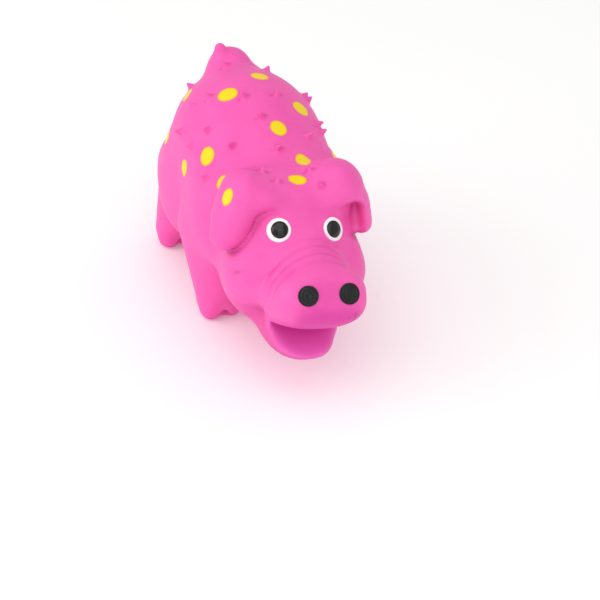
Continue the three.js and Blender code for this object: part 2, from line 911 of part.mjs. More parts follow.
const clipHalf = block(reedBore, reedBore, 2 * clipHeight, 0, overReed, clipFoot - overrun);
place(squeaker, "reed_clip", clipTube.intersect(clipHalf), materials.squeaker);

// The toy's origin is under the middle of its own box
const box = new THREE.Box3().setFromObject(toy, true);
model.position.set(-(box.min.x + box.max.x) / 2, -(box.min.y + box.max.y) / 2, 0);

export default toy;
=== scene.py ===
import functools
import math

import bmesh
import bpy
import numpy as np
from mathutils import Matrix, Vector


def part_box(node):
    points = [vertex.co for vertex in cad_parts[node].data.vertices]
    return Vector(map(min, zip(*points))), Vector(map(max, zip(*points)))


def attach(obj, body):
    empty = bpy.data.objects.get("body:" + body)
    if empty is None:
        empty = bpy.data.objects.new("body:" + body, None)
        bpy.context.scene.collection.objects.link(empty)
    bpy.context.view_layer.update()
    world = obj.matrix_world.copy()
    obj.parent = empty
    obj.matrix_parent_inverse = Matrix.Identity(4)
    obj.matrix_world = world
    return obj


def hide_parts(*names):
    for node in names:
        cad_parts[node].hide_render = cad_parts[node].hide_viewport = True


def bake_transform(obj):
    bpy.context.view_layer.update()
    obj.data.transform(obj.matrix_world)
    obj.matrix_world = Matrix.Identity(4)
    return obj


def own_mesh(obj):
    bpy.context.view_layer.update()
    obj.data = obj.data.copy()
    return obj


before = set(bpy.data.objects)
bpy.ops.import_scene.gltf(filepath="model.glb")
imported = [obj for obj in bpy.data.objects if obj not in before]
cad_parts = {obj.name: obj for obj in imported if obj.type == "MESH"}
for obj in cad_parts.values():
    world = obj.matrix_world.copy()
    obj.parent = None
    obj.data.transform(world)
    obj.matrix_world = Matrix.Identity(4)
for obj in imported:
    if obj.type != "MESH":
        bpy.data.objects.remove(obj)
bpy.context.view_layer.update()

# A stuffed latex squeaky pig. Forms are written in millimetres in the toy's own frame: the face
# towards -Y, its left towards +X, the feet on Z = 0. The squeaker's axis ties that frame to the CAD's.
squeakerAxis = (0.8, 21.5)
capLow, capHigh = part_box("squeaker_cap")
frameShift = np.array([
    (capLow.x + capHigh.x) / 2 * 1000 - squeakerAxis[0],
    (capLow.y + capHigh.y) / 2 * 1000 - squeakerAxis[1],
    0,
])


def inFrame(points):
    return (np.asarray(points, float) + frameShift) / 1000


# Camera, from the photograph's own perspective
camera = {
    "place": (-198.97, -494.02, 377.95),
    "right": (0.92749, -0.37253, 0.03127),
    "up": (0.19005, 0.54190, 0.81867),
    "back": (-0.32193, -0.75337, 0.57341),
    "lens": 119.93,
    "sensor": 36,
    "clip": (0.01, 20),
}


def makeCamera():
    data = bpy.data.cameras.new("camera")
    data.lens = camera["lens"]
    data.sensor_width = camera["sensor"]
    data.clip_start, data.clip_end = camera["clip"]
    obj = bpy.data.objects.new("camera", data)
    bpy.context.scene.collection.objects.link(obj)
    turn = Matrix([camera["right"], camera["up"], camera["back"]]).transposed().to_4x4()
    obj.matrix_world = Matrix.Translation(inFrame(camera["place"])) @ turn
    bpy.context.scene.camera = obj


makeCamera()
print("camera placed")


# Distance forms. Each gives the distance in mm from the points p to a surface, negative inside.
def smoothJoin(a, b, radius):
    mix = np.clip(0.5 + 0.5 * (b - a) / radius, 0, 1)
    return b + (a - b) * mix - radius * mix * (1 - mix)


def smoothCut(a, cutter, radius):
    return -smoothJoin(-a, cutter, radius)


def turned(axis, degrees):
    c, s = math.cos(math.radians(degrees)), math.sin(math.radians(degrees))
    rows = {
        "x": [(1, 0, 0), (0, c, -s), (0, s, c)],
        "y": [(c, 0, s), (0, 1, 0), (-s, 0, c)],
        "z": [(c, -s, 0), (s, c, 0), (0, 0, 1)],
    }
    return np.array(rows[axis], float)


def oval(p, middle, radii, tilt=0.0):
    q = p - np.array(middle, float)
    if tilt:
        q = q @ turned("x", tilt)
    radii = np.array(radii, float)
    near = np.linalg.norm(q / radii, axis=1)
    slope = np.linalg.norm(q / radii**2, axis=1)
    return near * (near - 1) / np.maximum(slope, 1e-9)


def taper(p, start, end, startRadius, endRadius):
    start, along = np.array(start, float), np.array(end, float) - np.array(start, float)
    t = np.clip((p - start) @ along / (along @ along), 0, 1)
    radius = startRadius + (endRadius - startRadius) * t
    return np.linalg.norm(p - start - t[:, None] * along, axis=1) - radius


# A form with full edges is a little steeper than true distance there, so it is scaled by this.
fullEdgeScale = 0.9


# A block with a nearly flat front and full, rounded edges
def puffedBlock(q, radii, faceShape, edgeShape):
    a, b, c = radii
    face = (np.abs(q[:, 0] / a) ** faceShape + np.abs(q[:, 2] / c) ** faceShape) ** (1 / faceShape)
    return ((face**edgeShape + np.abs(q[:, 1] / b) ** edgeShape) ** (1 / edgeShape) - 1) * b * fullEdgeScale


def ease(x, low, high):
    t = np.clip((x - low) / (high - low), 0, 1)
    return t * t * (3 - 2 * t)


def smoothPath(rows, steps):
    rows = np.array(rows, float)
    ends = np.vstack([2 * rows[0] - rows[1], rows, 2 * rows[-1] - rows[-2]])
    made = []
    for a, b, c, d in zip(ends, ends[1:], ends[2:], ends[3:]):
        for t in np.arange(steps) / steps:
            bend = (2 * a - 5 * b + 4 * c - d) * t**2 + (3 * b - a - 3 * c + d) * t**3
            made.append(0.5 * (2 * b + (c - a) * t + bend))
    return np.array(made + [rows[-1]])


# Body: a barrel with shoulders and haunches, four legs and a thick curled tail
body = {
    "barrel": ((2.2, 23.8, 47.3), (24.2, 31.5, 25.8)),
    "belly": ((1.0, 22, 34), (21, 32, 21)),
    "shoulder": ((-0.9, -1.5, 39.6), (25.2, 20.7, 20.2)),
    "haunch": ((15.0, 33.6, 32.3), (9.0, 14.5, 18.7)),
    "leftShoulder": ((15.5, 1.5, 47.5), (9.3, 8, 9)),
    "frontLeg": ((13.1, 6.6, 32.7), (14.4, 6.5, 5.4), 14.0, 6.9),
    "rearLeg": ((10.0, 43.3, 35.4), (13.5, 51.0, 5.2), 10.6, 6.7),
    "tail": [
        ((5.1, 45.1, 59.8), (3.9, 46.6, 65.1), 9.8, 7.3),
        ((5.8, 45.9, 63.9), (1.2, 46.6, 70.0), 2.9, 2.4),
        ((1.3, 46.8, 69.7), (0.7, 47.0, 72.9), 2.5, 1.8),
    ],
    "joins": {"barrel": 12, "belly": 6, "leftShoulder": 4, "haunch": 5, "leg": 4, "sole": 1.0, "tail": 5},
    "tailJoins": (2, 1.5),
}
# Each foot is cloven at its front; the cleft is wider at the floor.
hoof = {
    "feet": [(14.4, 6.8), (13.6, 51.2)],
    "front": 6.6,
    "cleft": ((-0.2, -0.6, -1.5), (-0.2, 2.2, 6.8), 2.4, 0.5),
    "toe": (3.5, 3.6, 3.8),
    "toeOut": 3.4,
    "toeBack": 3.6,
    "toeHeight": 3.6,
    "joins": {"toe": 1.6, "cleft": 1.1},
}


def bodyForm(p):
    joins = body["joins"]
    d = smoothJoin(oval(p, *body["barrel"]), oval(p, *body["shoulder"]), joins["barrel"])
    d = smoothJoin(d, oval(p, *body["belly"]), joins["belly"])
    d = smoothJoin(d, oval(p, *body["leftShoulder"]), joins["leftShoulder"])
    low, high, wide, narrow = hoof["cleft"]
    for side in (-1, 1):
        q = p * np.array([side, 1, 1])
        d = smoothJoin(d, oval(q, *body["haunch"]), joins["haunch"])
        d = smoothJoin(d, taper(q, *body["frontLeg"]), joins["leg"])
        d = smoothJoin(d, taper(q, *body["rearLeg"]), joins["leg"])
        for x, y in hoof["feet"]:
            for out in (-hoof["toeOut"], hoof["toeOut"]):
                toeAt = (x + out, y - hoof["toeBack"], hoof["toeHeight"])
                d = smoothJoin(d, oval(q, toeAt, hoof["toe"]), hoof["joins"]["toe"])
            foot = np.array([x, y - hoof["front"], 0])
            d = smoothCut(d, taper(q, foot + low, foot + high, wide, narrow), hoof["joins"]["cleft"])
    d = smoothCut(d, p[:, 2], joins["sole"])
    root, curl, tip = (taper(p, *piece) for piece in body["tail"])
    curlJoin, tipJoin = body["tailJoins"]
    tail = smoothJoin(smoothJoin(root, curl, curlJoin), tip, tipJoin)
    return smoothJoin(d, tail, joins["tail"])


# Head, in a frame of its own that is tipped to one side at the neck
neck = {"pivot": (0, -5, 40), "roll": 7.5, "yaw": -2.5}
neckPivot = np.array(neck["pivot"], float)
neckTurn = turned("z", neck["yaw"]) @ turned("y", neck["roll"])


def intoHead(p):
    return (p - neckPivot) @ neckTurn + neckPivot


def outOfHead(q):
    return (np.atleast_2d(q) - neckPivot) @ neckTurn.T + neckPivot


head = {
    "skull": ((0, -15, 42.6), (19.0, 18.2, 19.7)),
    "cheeks": ((0.5, -19, 30.3), (20.3, 18, 16.6)),
    "temple": ((11.6, -23.5, 39.5), (8.2, 9.5, 8.0)),
    "brow": ((6.4, -23.8, 45.1), (8.7, 8.7, 8.7)),
    "crown": ((11.0, -18.5, 55.3), (7.0, 7.2, 7.2)),
    "jowl": ((13.1, -27.2, 34.2), (9.5, 11, 10.6)),
    "muzzle": ((0.3, -44.4, 35.3), (14.6, 10.9, 9.3), -35),
    "muzzleShape": (2.6, 3.9),
    "bridge": ((0, -20, 38), (0, -38, 37), 14, 12.8),
    "chin": ((1.5, -28, 18.5), (10.5, 14, 8.5), -5),
    "lip": ((-1.4, -35.2, 21.7), (11.9, 2.9, 16.6), 12.3),
    "lipShape": (2.4, 2.4),
    "mouth": ((-0.6, -44.5, 25.4), (10.0, 14.5, 4.9), 10),
    "joins": {
        "skull": 8, "jowl": 4, "brow": 4, "temple": 4, "crown": 5, "bridge": 4,
        "snout": 3.5, "lip": 4, "jaw": 5, "mouth": 1.7, "eye": 1.8, "neck": 4,
    },
}
# A low mound under each eye turns it to the side that it looks to.
eye = {
    "place": {-1: (8.9, -30.5, 51.1), 1: (8.3, -30.6, 50.5)},
    "moundPlace": (8.6, -30.5, 50.8),
    "facing": (0.28, -0.748, 0.602),
    "mound": (4.6, 4.6, 1.5),
    "sunk": 1.3,
    "white": 3.7,
    "whiteHeight": (0.2, 0.25),
    "whiteRim": 0.02,
    "pupil": 2.65,
    "pupilInward": 0.2,
    "pupilHeight": (0.3, 0.95),
}
# Folds over the snout. Each row: place along it at the top, how far the ends run forward, depth, width
snoutFolds = {
    "rows": [(34.2, -1.0, 0.45, 0.7), (37.4, 0.5, 0.6, 0.7), (40.6, 1.2, 0.65, 0.7), (43.4, 2.0, 0.4, 0.7)],
    "halfSpan": 12,
    "heights": (33, 42),  # they fade out between these, down the sides
}
# The path of an ear is out from its root and up; half is half its breadth, thick half its thickness.
ear = {
    "root": {-1: (11.2, -17.2, 53.0), 1: (8.2, -18.0, 55.6)},
    "hang": {-1: 0.89, 1: 0.69},
    "front": (0.16, 0.19),
    "frontTurn": (-10, 2),
    "turn": 26,
    "edgeShape": 2.3,
    "path": {
        -1: [(-5.0, 2.6), (1.8, 4.7), (5.8, 5.0), (9.1, -1.4), (11.4, -6.3), (13.8, -9.1)],
        1: [(-6, -0.5), (0.6, 3.0), (5.0, 4.4), (9.1, -1.4), (11.4, -6.3), (13.8, -9.1)],
    },
    "half": [6.6, 7.0, 7.3, 7.2, 6.2, 4.7],
    "thick": [4.2, 5.1, 5.9, 5.9, 5.1, 3.4],
    "sweep": {-1: [2.4, 2.0, 1.7, 0.9, -0.1, -0.5], 1: [4.3, 3.3, 2.2, 0.9, -0.1, -0.5]},
    "inner": ((5.9, 3.6, -4.6), (6.2, 5.6, 7.0)),
    "web": {-1: ((3.0, -3.6, 4.2), (4.4, 5.0, 4.2)), 1: ((7.8, -3.2, -3.2), (4.8, 4.0, 6.6))},
    "tip": ((13.2, -3.4, -5.9), (3.5, 3.6, 2.6)),
    "cup": ((10.8, -7.9, -1.9), (12.5, -7.4, -5.4), 3.6, 2.6),
    "cupSqueeze": (1, 0.45, 1),  # makes the hollow long across the ear
    "joins": {"inner": 2, "web": 3, "tip": 1.5, "cup": 3.0},
    "rootJoin": {"tight": 1.2, "loose": 5.5, "from": 50.5, "to": 55, "slant": 0.35},
}
eyeFacing = np.array(eye["facing"]) / np.linalg.norm(eye["facing"])
eyeAcross = np.cross([0, 0, 1], eyeFacing) / np.linalg.norm(np.cross([0, 0, 1], eyeFacing))
eyeTurn = np.stack([eyeAcross, np.cross(eyeFacing, eyeAcross), eyeFacing], 1)
earLine = {
    side: smoothPath(list(zip(*zip(*ear["path"][side]), ear["half"], ear["thick"], ear["sweep"][side])), 7)
    for side in (-1, 1)
}


def earForm(q, side):
    r = q - np.array(ear["root"][side]) * np.array([side, 1, 1])
    b = math.radians(ear["turn"])
    out = r[:, 0] * side * math.cos(b) - r[:, 1] * math.sin(b)
    chord = r[:, 0] * side * math.sin(b) + r[:, 1] * math.cos(b)
    # The front of the fold lies lower and further out than its back, less so near the tip.
    high = np.minimum(chord, 0) * ease(r[:, 2], *ear["frontTurn"])
    flat = np.stack([out + ear["front"][0] * high, r[:, 2] - ear["front"][1] * high], 1)
    line = earLine[side].copy()
    line[:, 1] = np.where(line[:, 1] < 0, line[:, 1] * ear["hang"][side], line[:, 1])
    flap = np.full(len(q), 1e9)
    for start, end in zip(line, line[1:]):
        along = end[:2] - start[:2]
        t = np.clip((flat - start[:2]) @ along / (along @ along), 0, 1)
        off = np.linalg.norm(flat - start[:2] - t[:, None] * along, axis=1)
        half, thick, sweep = (start[2:] + t[:, None] * (end[2:] - start[2:])).T
        reach = np.sqrt((off / thick) ** 2 + (np.abs(chord - sweep) / half) ** ear["edgeShape"])
        flap = np.minimum(flap, (reach - 1) * thick * fullEdgeScale)
    within = np.stack([out, chord, r[:, 2]], 1)
    joins = ear["joins"]
    flap = smoothJoin(flap, oval(within, *ear["inner"]), joins["inner"])
    flap = smoothJoin(flap, oval(within, *ear["web"][side]), joins["web"])
    if side < 0:
        return flap
    # The left ear is the more open one: its hollow shows under the fold.
    flap = smoothJoin(flap, oval(within, *ear["tip"]), joins["tip"])
    low, high, wide, narrow = ear["cup"]
    squeeze = np.array(ear["cupSqueeze"])
    cup = taper(within * squeeze, low * squeeze, high * squeeze, wide, narrow)
    return smoothCut(flap, cup, joins["cup"])


def snoutForm(q):
    middle, radii, tilt = head["muzzle"]
    muzzle = puffedBlock((q - np.array(middle)) @ turned("x", tilt), radii, *head["muzzleShape"])
    d = smoothJoin(muzzle, taper(q, *head["bridge"]), head["joins"]["bridge"])
    for along, sweep, depth, width in snoutFolds["rows"]:
        place = -q[:, 1] - along - sweep * (q[:, 0] / snoutFolds["halfSpan"]) ** 2
        there = ease(q[:, 2], *snoutFolds["heights"]) * depth
        d = d + there * np.exp(-((place / width) ** 2))
    return d


# The lower lip is a thin plate, as in a spoon, that the chin carries.
def jawForm(q):
    middle, radii, tilt = head["lip"]
    within = (q - np.array(middle)) @ turned("x", tilt)
    lip = puffedBlock(within[:, [0, 2, 1]], radii, *head["lipShape"])
    return smoothJoin(oval(q, *head["chin"]), lip, head["joins"]["lip"])


def headForm(p):
    q = intoHead(p)
    joins = head["joins"]
    d = smoothJoin(oval(q, *head["skull"]), oval(q, *head["cheeks"]), joins["skull"])
    mirror = np.abs(q[:, 0])[:, None] * [1, 0, 0] + q * [0, 1, 1]
    for part in ("jowl", "brow", "temple"):
        d = smoothJoin(d, oval(mirror, *head[part]), joins[part])
    d = smoothJoin(d, oval(q, *head["crown"]), joins["crown"])
    d = smoothJoin(d, snoutForm(q), joins["snout"])
    d = smoothJoin(d, jawForm(q), joins["jaw"])
    d = smoothCut(d, oval(q, *head["mouth"]), joins["mouth"])
    moundAt = (mirror - np.array(eye["moundPlace"]) + eye["sunk"] * eyeFacing) @ eyeTurn
    d = smoothJoin(d, oval(moundAt, (0, 0, 0), eye["mound"]), joins["eye"])
    # An ear meets the brow in a tight crease and the top of the head in a loose one.
    root = ear["rootJoin"]
    loose = root["loose"] * ease(q[:, 2] - root["slant"] * mirror[:, 0], root["from"], root["to"])
    for side in (-1, 1):
        d = smoothJoin(d, earForm(q, side), root["tight"] + loose)
    return d


def toyForm(p):
    return smoothJoin(bodyForm(p), headForm(p), head["joins"]["neck"])


def slopeOf(form, p, reach=0.15):
    return np.stack([form(p + s) - form(p - s) for s in np.eye(3) * reach], 1) / (2 * reach)


# Points walk onto the surface of a form, in steps of so many mm at most.
settling = {"longestStep": 0.8, "leastSteepness": 0.2}


def settle(form, p, rounds):
    longest = settling["longestStep"]
    for _ in range(rounds):
        slope = slopeOf(form, p)
        step = form(p) / np.maximum((slope**2).sum(1), settling["leastSteepness"])
        p = p - np.clip(step, -longest, longest)[:, None] * slope
    return p


# The field is found on a coarse grid first, and on the fine one only near the surface: within so many
# coarse cells of it, and for so many points at once.
fineField = {"within": 1.4, "pointsAtOnce": 200000}


def fieldOn(form, low, high, cell, stride=4):
    counts = (np.ceil((np.array(high) - low) / (cell * stride)).astype(int) + 1) * stride
    coarseAt = [low[k] + cell * stride * (np.arange(counts[k] // stride) + 0.5) for k in range(3)]
    coarse = form(np.stack(np.meshgrid(*coarseAt, indexing="ij"), -1).reshape(-1, 3))
    coarse = coarse.reshape([len(a) for a in coarseAt])
    field = coarse.repeat(stride, 0).repeat(stride, 1).repeat(stride, 2)
    near = np.argwhere(np.abs(field) < cell * stride * fineField["within"])
    parts = np.array_split(near, max(1, len(near) // fineField["pointsAtOnce"]))
    field[tuple(near.T)] = np.concatenate([form(np.array(low) + part * cell) for part in parts])
    return field


# Quads round the zero of a field: one vertex in each cell that the surface crosses.
def surfaceNet(field, low, cell):
    cells = np.array(field.shape)
    total, count = np.zeros((field.size, 3)), np.zeros(field.size)
    quads = []
    for a in range(3):
        b, c = (a + 1) % 3, (a + 2) % 3
        first = np.moveaxis(np.moveaxis(field, a, 0)[:-1], 0, a)
        second = np.moveaxis(np.moveaxis(field, a, 0)[1:], 0, a)
        at = np.argwhere((first < 0) != (second < 0))
        before, after = first[tuple(at.T)], second[tuple(at.T)]
        point = at.astype(float)
        point[:, a] += before / (before - after)
        ring = []
        for stepB, stepC in ((0, 0), (1, 0), (1, 1), (0, 1)):
            cellAt = at.copy()
            cellAt[:, b] -= stepB
            cellAt[:, c] -= stepC
            key = np.ravel_multi_index(tuple(cellAt.T), cells)
            np.add.at(total, key, point)
            np.add.at(count, key, 1)
            ring.append(key)
        ring = np.stack(ring, 1)
        ring[before >= 0] = ring[before >= 0][:, ::-1]
        quads.append(ring)
    quads = np.concatenate(quads)
    used, index = np.unique(quads, return_inverse=True)
    points = np.array(low) + cell * total[used] / count[used][:, None]
    return points, index.reshape(-1, 4)


def makeObject(name, points, faces):
    mesh = bpy.data.meshes.new(name)
    mesh.from_pydata(inFrame(points).tolist(), [], [list(map(int, f)) for f in faces])
    mesh.validate()
    mesh.polygons.foreach_set("use_smooth", [True] * len(mesh.polygons))
    mesh.update()
    obj = bpy.data.objects.new(name, mesh)
    bpy.context.scene.collection.objects.link(obj)
    return obj


def addAttribute(obj, name, values):
    kind = "FLOAT" if np.ndim(values) == 1 else "FLOAT_VECTOR"
    attribute = obj.data.attributes.new(name, kind, "POINT")
    field = "value" if kind == "FLOAT" else "vector"
    attribute.data.foreach_set(field, np.asarray(values, np.float32).ravel())


# Moulded spikes over the back and flanks. The profile gives the height at each distance from the middle;
# a fine wrinkle runs out to each side of a spike that stands on top of the back or the head. The wrinkle and
# the lower side of each spike's foot get painted shade.
spike = {
    "seed": 11,
    "profile": [
        (0, 2.4), (0.2, 2.33), (0.4, 2.05), (0.6, 1.55), (0.8, 1.05),
        (1.0, 0.62), (1.3, 0.26), (1.6, 0.07), (2, 0),
    ],
    "size": (0.85, 1.15),
    "turnOff": 0.35,
    "lean": 0.4,
    "reach": 5,
    "depth": 3,
    "sameSide": 0.3,
    "wrinkle": {
        "depth": 0.28,
        "width": 0.42,
        "start": (0.3, 1.1),
        "end": (1.6, 3.0),
        "shade": 0.6,
        "facingUp": (0.6, 0.95),
    },
    "foot": {"far": 1.15, "width": 0.4, "shade": 0.42, "lower": (0.2, 0.8, -0.6), "turn": (-0.4, 0.9)},
    "onHead": {"before": -10, "size": 0.72, "lean": 0.5},
    "finer": (3.4, 1.9, 0.85),
}
spikePlaces = [
    (12.7, 36.1, 68.2), (-0.2, 39.8, 69.9), (-9.9, 44.6, 61.8), (-11.1, 24.2, 68.9), (-2.7, 16.4, 71.8),
    (-15.3, 26.9, 65.0), (8.0, 15.3, 71.4), (21.6, 25.6, 62.7), (22.2, 23.9, 61.9), (-0.2, 7.2, 69.2),
    (-15.2, 13.8, 63.4), (20.3, 10.7, 60.9), (20.9, 8.6, 59.0), (-19.7, 16.3, 57.2), (-11.3, 3.0, 63.2),
    (1.2, -3.6, 63.6), (13.3, 1.6, 62.9), (-20.0, 25.5, 57.5), (-20.6, 1.5, 54.1), (-8.4, -15.3, 64.0),
    (-5.2, -19.6, 62.6), (6.3, -17.3, 62.7), (7.7, -23.7, 60.7), (24.5, 33.0, 52.0), (25.0, 14.0, 40.0),
    (22.5, 0.0, 50.0), (8.0, 50.5, 55.0), (-6.0, 52.0, 52.0), (16.5, 45.0, 56.0), (-12.0, 50.5, 44.0),
]

# Short creases in the cheek and the upper lip. Each row: place, direction, half length, half width, depth
creases = [
    ((-22.2, -31.2, 40.6), (0.93, -0.37, 0.03), 1.9, 0.5, 0.35),
    ((6.5, -55.8, 34.7), (0.7, -0.2, 0.6), 0.6, 0.3, 0.5),
    ((4.4, -56.2, 34.6), (1, 0, 0), 0.25, 0.25, 0.4),
]
# Each crease is painted darker by this share: painted shade
creaseShade, creaseReach = 0.6, 2

# Painted spots. Each row: place, direction of the long axis, half length, half width
spots = [
    ((6.5, 26.1, 72.6), (0.92, -0.35, -0.16), 3.0, 2.7),
    ((-6.4, 20.6, 71.3), (0.82, -0.49, 0.29), 3.4, 3.0),
    ((-13.4, 38.6, 62.8), (0.5, 1, 0.3), 3.0, 2.3),
    ((15.1, 12.0, 66.9), (0.82, 0.17, -0.55), 3.4, 2.8),
    ((3.9, 2.7, 67.1), (0.43, -0.79, -0.44), 3.0, 2.6),
    ((-20.9, 39.0, 48.5), (-0.2, -0.8, 0.5), 3.2, 2.4),
    ((-17.9, 7.6, 58.4), (0.1, 0.94, 0.31), 3.3, 2.9),
    ((-22.0, 17.1, 49.4), (0.16, 0.22, 0.96), 2.9, 2.4),
    ((7.3, -9.7, 61.7), (-0.22, -0.97, 0.14), 4.2, 2.4),
    ((1.4, -19.5, 61.8), (-0.94, 0.32, 0.14), 3.0, 2.0),
    ((-17.8, -5.0, 56.6), (0.5, 0.4, 1), 2.7, 2.1),
    ((-21.5, -20.6, 60.9), (0.47, 0.27, 0.84), 2.8, 1.9),
    ((22.9, 0.6, 54.3), (0.3, 1, -0.3), 2.7, 2.2),
    ((22.5, 38.0, 56.0), (0.4, 1, 0.2), 2.9, 2.4),
    ((25.5, 24.0, 49.0), (0.2, 0.5, 1), 3.0, 2.4),
    ((24.0, 6.0, 45.0), (0.1, 0.4, 1), 2.8, 2.3),
    ((3.0, 53.0, 47.0), (1, 0, 0.6), 2.9, 2.4),
    ((-14.0, 48.0, 50.0), (0.6, 0.8, 1), 2.8, 2.3),
]
# A spot ends where the skin turns away from it or lies too deep under it; far stands for no spot near.
spotLimits = {"depth": 3, "sameSide": 0.2, "far": 9.0, "kept": 3}


def spotEdges(points, normals):
    far, kept = spotLimits["far"], spotLimits["kept"]
    edge = np.full(len(points), far)
    for place, direction, halfLong, halfWide in spots:
        middle = settle(toyForm, np.array([place], float), rounds=3)[0]
        outward = slopeOf(toyForm, middle[None])[0]
        outward /= np.linalg.norm(outward)
        along = np.array(direction) - outward * (outward @ direction)
        along /= np.linalg.norm(along)
        across = np.cross(outward, along)
        r = points - middle
        shape = np.hypot(r @ along / halfLong, r @ across / halfWide)
        distance = (shape - 1) * (halfLong + halfWide) / 2
        hidden = (np.abs(r @ outward) > spotLimits["depth"]) | (normals @ outward < spotLimits["sameSide"])
        edge = np.minimum(edge, np.where(hidden, far, distance))
    return np.clip(edge, -kept, kept)


def normalsOf(form, points):
    slope = slopeOf(form, points)
    return slope / np.linalg.norm(slope, axis=1)[:, None]


def refine(points, faces, places, reaches):
    work = bmesh.new()
    vertices = [work.verts.new(p) for p in points.tolist()]
    for face in faces:
        work.faces.new([vertices[i] for i in face])
    work.verts.ensure_lookup_table()
    for within in reaches:
        at = np.array([v.co for v in work.verts])
        near = np.zeros(len(at), bool)
        for place in places:
            near |= np.linalg.norm(at - place, axis=1) < within
        edges = [e for e in work.edges if near[e.verts[0].index] and near[e.verts[1].index]]
        bmesh.ops.subdivide_edges(work, edges=edges, cuts=1, use_grid_fill=True)
        work.verts.index_update()
    points = np.array([v.co for v in work.verts])
    faces = [[v.index for v in f.verts] for f in work.faces]
    work.free()
    return points, faces


def raiseSpikes(points, rest, normals, places):
    shadeMark = np.zeros(len(points))
    chance = np.random.default_rng(spike["seed"])
    wrinkle, foot, onHead = spike["wrinkle"], spike["foot"], spike["onHead"]
    for place, outward in zip(places, normalsOf(toyForm, places)):
        size = chance.uniform(*spike["size"])
        turnOff = chance.uniform(-spike["turnOff"], spike["turnOff"])
        lean = chance.uniform(-spike["lean"], spike["lean"], 3)
        if place[1] < onHead["before"]:
            size, lean = size * onHead["size"], lean * onHead["lean"]
        r = rest - place
        off = r - (r @ outward)[:, None] * outward
        far = np.linalg.norm(off, axis=1)
        near = (far < spike["reach"]) & (np.abs(r @ outward) < spike["depth"])
        near = near & (normals @ outward > spike["sameSide"])
        height = np.interp(far, *zip(*spike["profile"])) * size
        side = np.cross([turnOff, 1, 0], outward)
        side /= np.linalg.norm(side)
        sideways, lengthways = np.abs(off @ side), off @ np.cross(outward, side)
        run = ease(sideways, *wrinkle["start"]) * (1 - ease(sideways, *wrinkle["end"]))
        run = run * ease(outward[2], *wrinkle["facingUp"])
        groove = run * np.exp(-((lengthways / wrinkle["width"]) ** 2))
        # The foot of a spike is shaded on its lower side.
        shade = np.exp(-(((far - foot["far"]) / foot["width"]) ** 2)) * foot["shade"]
        shade = shade * ease(off @ foot["lower"], *foot["turn"])
        # Painted shade in each wrinkle and on the lower side of each foot
        shadeMark = np.where(near, np.maximum(shadeMark, np.maximum(groove * wrinkle["shade"], shade)), shadeMark)
        bend = np.where(near, (height / spike["profile"][0][1]) ** 2, 0)
        height = np.where(near, height - wrinkle["depth"] * groove, 0)
        points = points + height[:, None] * outward + bend[:, None] * lean
    return points, shadeMark


def cutCreases(points, shadeMark, rest, normals, places):
    for middle, (_, direction, length, width, depth) in zip(places, creases):
        outward = normalsOf(toyForm, middle[None])[0]
        across = np.cross(outward, direction)
        across /= np.linalg.norm(across)
        r = rest - middle
        groove = np.exp(-((r @ np.cross(across, outward) / length) ** 2) - (r @ across / width) ** 2)
        groove = np.where(np.abs(r @ outward) < creaseReach, groove, 0)
        # Painted shade in the crease
        shadeMark = np.maximum(shadeMark, creaseShade * groove)
        points = points - depth * groove[:, None] * normals
    return points, shadeMark


# What the skin's colour goes by, at each point: how deep it lies in a fold (painted shade) or stands on a
# ridge (painted highlight along with wear), whether it is in the mouth (painted light) and whether it faces
# down or forward on the snout (painted shade)
shading = {
    "foldReach": 2.5,
    "ridgeReach": 2.0,
    "mouth": (1.0, 3.0),
    "mouthOpen": 0.85,  # the mouth's hollow is open to the light, so it is hardly darker than its rim
    # Painted shade: the snout's front and underside, and every face that faces down, are painted darker
    "snoutFacing": (0, -0.9, -0.6),
    "snoutSides": 0.9,
    "snoutTurn": (0.1, 0.75),
    "snoutFrom": (36, 46),
    "belly": 0.6,
    "bellyTurn": (0.1, 0.9),
}


def shadeSkin(skin, rest, normals, shadeMark):
    # Painted shade on the snout's front and on faces that face down
    sides = shading["snoutSides"] * np.abs(normals[:, 0])
    snoutFrontShade = ease(normals @ shading["snoutFacing"] - sides, *shading["snoutTurn"])
    snoutFrontShade = snoutFrontShade * ease(-rest[:, 1], *shading["snoutFrom"])
    facingDownShade = shading["belly"] * ease(-normals[:, 2], *shading["bellyTurn"])
    # The mouth's hollow gets painted light, and its fold gets less painted shade
    litLining = 1 - ease(np.abs(oval(intoHead(rest), *head["mouth"])), *shading["mouth"])
    foldReach, ridgeReach = shading["foldReach"], shading["ridgeReach"]
    # Painted shade, deeper the further the skin lies in a fold
    fold = np.clip(1 - toyForm(rest + normals * foldReach) / foldReach, 0, 1)
    # Painted highlight along with wear, stronger the thinner the edge
    ridgeWearAndHighlight = np.clip(1 + toyForm(rest - normals * ridgeReach) / ridgeReach, 0, 1)
    addAttribute(skin, "restPlace", rest)
    addAttribute(skin, "spotEdge", spotEdges(rest, normals))
    addAttribute(skin, "fold", fold * (1 - shading["mouthOpen"] * litLining))
    addAttribute(skin, "ridgeWearAndHighlight", ridgeWearAndHighlight)
    addAttribute(skin, "shadeMark", shadeMark)
    addAttribute(skin, "litLining", litLining)
    addAttribute(skin, "under", np.maximum(snoutFrontShade, facingDownShade))


grid = {"low": (-31.0, -62.0, -3.0), "high": (31.0, 62.0, 79.0), "cell": 0.85, "quickCell": 1.2}


